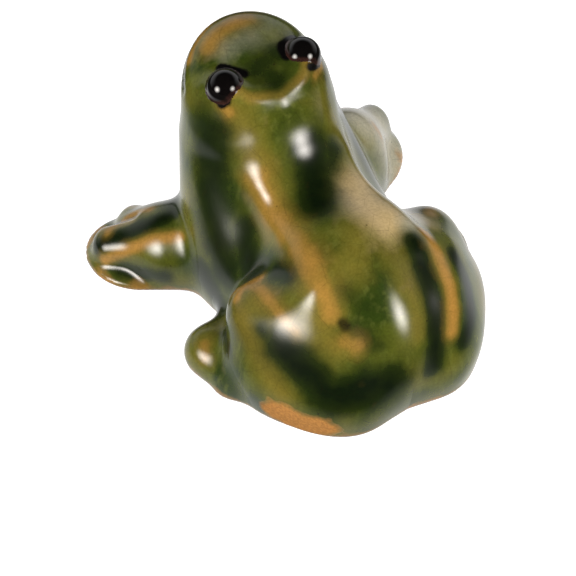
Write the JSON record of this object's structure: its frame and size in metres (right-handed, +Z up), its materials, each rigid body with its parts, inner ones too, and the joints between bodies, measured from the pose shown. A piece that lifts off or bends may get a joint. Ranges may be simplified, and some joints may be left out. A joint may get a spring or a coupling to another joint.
{
  "type": "frog figurine",
  "caption": "Small hollow glazed earthenware frog sitting with its head raised, a shelf or desk ornament that rests on a flat base.",
  "frame": {"origin": "on the ground under the middle of the bounding box", "axes": "+Z up from the flat base; the frog faces -Y and its left side is +X"},
  "size_m": [0.042, 0.0434, 0.0297],
  "materials": {
    "mottled_glaze": "glossy green and ochre lead-type glaze over orange-brown clay, bare at the base edge",
    "black_glaze": "thick glossy black glaze"
  },
  "bodies": {
    "root": {"body_shell": "mottled_glaze", "left_thigh": "mottled_glaze", "right_thigh": "mottled_glaze", "left_hind_foot": "mottled_glaze", "right_hind_foot": "mottled_glaze", "left_front_leg": "mottled_glaze", "right_front_leg": "mottled_glaze", "left_eye": "black_glaze", "right_eye": "black_glaze"}
  },
  "joints": []
}
